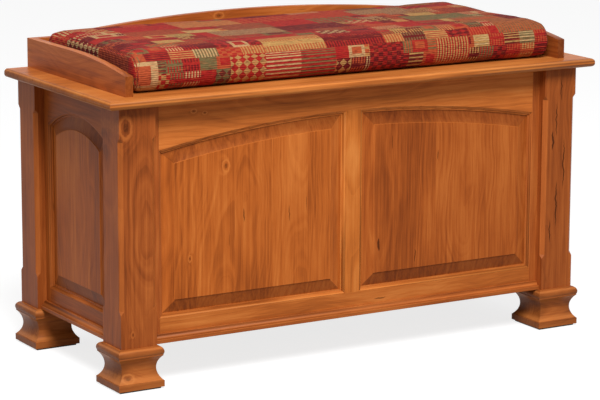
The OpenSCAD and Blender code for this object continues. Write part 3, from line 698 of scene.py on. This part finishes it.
# ---- Cushion seams ----
# Each end panel is closed with a lockstitch in dark thread, just off the seam on the wrap's side.
surface = BVHTree.FromObject(cushion, bpy.context.evaluated_depsgraph_get())
seam_points, seam_edges = [], []
SEAM_STEPS = 220
for side in (-1, 1):
    loop_points = []
    for step in range(SEAM_STEPS):
        angle = 2 * math.pi * step / SEAM_STEPS
        ray = Vector((0.0, math.cos(angle), math.sin(angle)))
        reach = min(half.y / max(abs(ray.y), 1e-6), half.z / max(abs(ray.z), 1e-6))
        edge = Vector((middle.x + side * half.x, middle.y, middle.z)) + ray * reach
        out = Vector((side, ray.y, ray.z)).normalized()
        spot, normal, _, _ = surface.ray_cast(edge + out * 0.03, -out, 0.09)
        if spot and spot.z > cushion_low.z + 0.006:
            loop_points.append(spot + normal * 0.0002 - Vector((side * 0.0035, 0, 0)))
    first = len(seam_points)
    for point in loop_points:
        spot, normal, _, _ = surface.find_nearest(point)
        seam_points.append(spot + normal * 0.00025)
    for i in range(len(loop_points) - 1):
        if (loop_points[i + 1] - loop_points[i]).length < 0.03:
            seam_edges.append((first + i, first + i + 1))
seam_mesh = bpy.data.meshes.new("seam_line")
seam_mesh.from_pydata(seam_points, seam_edges, [])
stitches = bpy.data.objects.new("cushion_seam_stitches", seam_mesh)
scene.collection.objects.link(stitches)

made, start = new_tree("dark_thread")
x, y, z = place(start, "x", "y", "z")
twist = ((x + y + z) * 5200.0).math("SINE")
finish_surface(start, {
    "Base Color": twist.step(-1.0, 1.0).blend(colour(58, 22, 22), colour(112, 52, 44)),
    "Roughness": 0.6 + twist * 0.1,
    "Normal": start.node("ShaderNodeBump", {}, {"Strength": 0.4, "Distance": 0.0001, "Height": twist}),
}, {"Specular IOR Level": 0.3})

tree = bpy.data.node_groups.new("stitch_row", "GeometryNodeTree")
tree.interface.new_socket("Geometry", in_out="INPUT", socket_type="NodeSocketGeometry")
pitch = tree.interface.new_socket("Stitch pitch", in_out="INPUT", socket_type="NodeSocketFloat")
length = tree.interface.new_socket("Stitch length", in_out="INPUT", socket_type="NodeSocketFloat")
thick = tree.interface.new_socket("Thread radius", in_out="INPUT", socket_type="NodeSocketFloat")
tree.interface.new_socket("Geometry", in_out="OUTPUT", socket_type="NodeSocketGeometry")


def geometry(kind, settings, inputs):
    """One Geometry Nodes node: settings first, then its sockets' values or links."""
    added = tree.nodes.new(kind)
    for key, setting in settings.items():
        setattr(added, key, setting)
    for key, given in inputs.items():
        if isinstance(given, bpy.types.NodeSocket):
            tree.links.new(given, added.inputs[key])
        else:
            added.inputs[key].default_value = given
    return added.outputs


given = geometry("NodeGroupInput", {}, {})
line = geometry("GeometryNodeMeshToCurve", {}, {"Mesh": given["Geometry"]})["Curve"]
spaced = geometry("GeometryNodeCurveToPoints", {"mode": "LENGTH"}, {"Curve": line, "Length": given["Stitch pitch"]})
thread = geometry("GeometryNodeMeshCylinder", {"fill_type": "TRIANGLE_FAN"},
                  {"Vertices": 6, "Side Segments": 1, "Radius": given["Thread radius"],
                   "Depth": given["Stitch length"]})["Mesh"]
turned = geometry("FunctionNodeAlignRotationToVector", {"axis": "Z"}, {"Vector": spaced["Tangent"]})["Rotation"]
placed = geometry("GeometryNodeInstanceOnPoints", {},
                  {"Points": spaced["Points"], "Instance": thread, "Rotation": turned})["Instances"]
real = geometry("GeometryNodeRealizeInstances", {}, {"Geometry": placed})["Geometry"]
dressed = geometry("GeometryNodeSetMaterial", {}, {"Geometry": real, "Material": made})["Geometry"]
geometry("NodeGroupOutput", {}, {"Geometry": dressed})
rows = stitches.modifiers.new("stitch row", "NODES")
rows.node_group = tree
rows[pitch.identifier] = 0.0052
rows[length.identifier] = 0.0036
rows[thick.identifier] = 0.00042
frozen(stitches, "cushion_seam_stitches")
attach(stitches, "cushion")


# ---- Floor, light and camera ----
# A white studio: a plain pale floor that runs out to white, one large soft lamp high on the front
# left and an even sky. The camera looks down a little from the front left.
def shown_white(start, kept):
    """1 where the camera, a gloss or a glass looks, kept elsewhere."""
    path = start.node("ShaderNodeLightPath", {}, {}).socket.node.outputs
    seen = [Value(start.tree, path[ray]) for ray in ("Is Camera Ray", "Is Glossy Ray", "Is Transmission Ray")]
    return seen[0].math("MAXIMUM", seen[1]).math("MAXIMUM", seen[2]) * (1 - kept) + kept


floor_mesh = bpy.data.meshes.new("studio_floor")
REACH = 30.0
floor_mesh.from_pydata([(-REACH, -REACH, 0), (REACH, -REACH, 0), (REACH, REACH, 0), (-REACH, REACH, 0)],
                       [], [(0, 1, 2, 3)])
floor = bpy.data.objects.new("studio_floor", floor_mesh)
scene.collection.objects.link(floor)
made, start = new_tree("white_floor")
glow = shown_white(start, 0.0)
finish_surface(start, {"Emission Color": glow.blend((0.0, 0.0, 0.0, 1.0), (0.78, 0.78, 0.78, 1.0))}, {
    "Base Color": (0.32, 0.32, 0.32, 1.0), "Roughness": 0.9, "Specular IOR Level": 0.0,
    "Emission Strength": 1.0})
floor_mesh.materials.append(made)

SKY = 0.40
sky = bpy.data.worlds.new("studio_sky")
sky.use_nodes = True
sky.node_tree.nodes.clear()
start = Value(sky.node_tree)
backdrop = start.node("ShaderNodeBackground", {}, {"Color": (1.0, 1.0, 1.0, 1.0), "Strength": shown_white(start, SKY)})
start.node("ShaderNodeOutputWorld", {}, {"Surface": backdrop})
scene.world = sky

KEY_PLACE = Vector((-1.3, -2.85, 3.85))
key_light = bpy.data.lights.new("soft_key", "AREA")
key_light.shape = "DISK"
key_light.size = 2.0
key_light.energy = 250.0
key = bpy.data.objects.new("soft_key", key_light)
key.location = KEY_PLACE
key.rotation_euler = (Vector((0.0, 0.0, 0.3)) - KEY_PLACE).to_track_quat("-Z", "Y").to_euler()
scene.collection.objects.link(key)

camera_data = bpy.data.cameras.new("camera")
camera_data.sensor_width = 36.0
camera_data.lens = 157.55
camera = bpy.data.objects.new("camera", camera_data)
camera.location = (-2.6789, -4.4968, 1.3659)
camera.rotation_mode = "QUATERNION"
camera.rotation_quaternion = (
    Matrix.Rotation(math.radians(-30.738), 3, "Z") @ Matrix.Rotation(math.radians(90 - 11.718), 3, "X")
    @ Matrix.Rotation(math.radians(0.2276), 3, "Z")).to_quaternion()
scene.collection.objects.link(camera)
scene.camera = camera
scene.view_settings.view_transform = "Standard"
